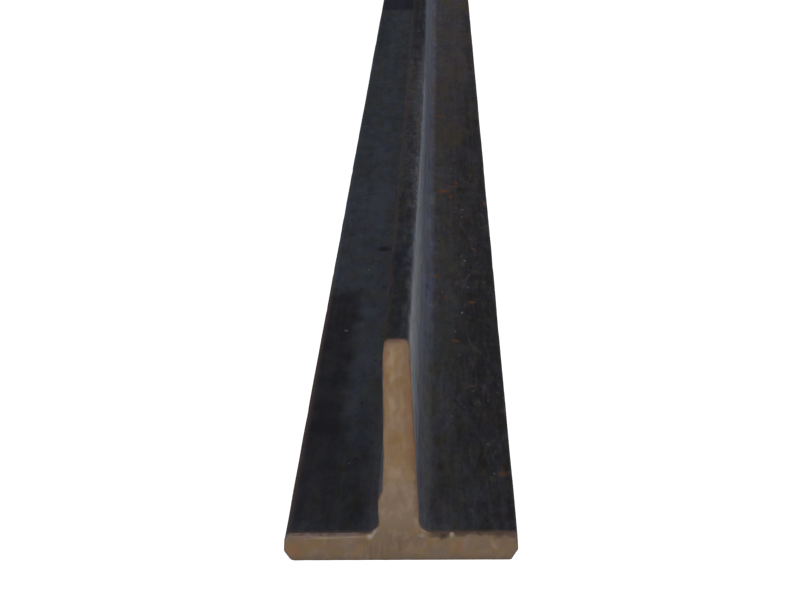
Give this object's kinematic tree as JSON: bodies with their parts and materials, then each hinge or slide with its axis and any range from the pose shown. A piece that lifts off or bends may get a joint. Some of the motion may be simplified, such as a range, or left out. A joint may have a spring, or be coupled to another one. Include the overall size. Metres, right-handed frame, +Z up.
{
  "type": "steel tee bar",
  "caption": "Hot rolled steel tee bar: a flat flange with an upright stem along its middle, sawn square at both ends.",
  "frame": {"origin": "centre of the flange's underside at mid-length", "axes": "+Y along the bar, +Z up the stem, +X across the flange; the end that the picture shows is at -Y"},
  "size_m": [0.038, 0.6096, 0.0381],
  "materials": {
    "hot_rolled_steel": "dark blue-grey mill scale with rust flecks, and brown rusted saw cuts on the ends"
  },
  "bodies": {
    "root": {"tee_bar": "hot_rolled_steel"}
  },
  "joints": []
}
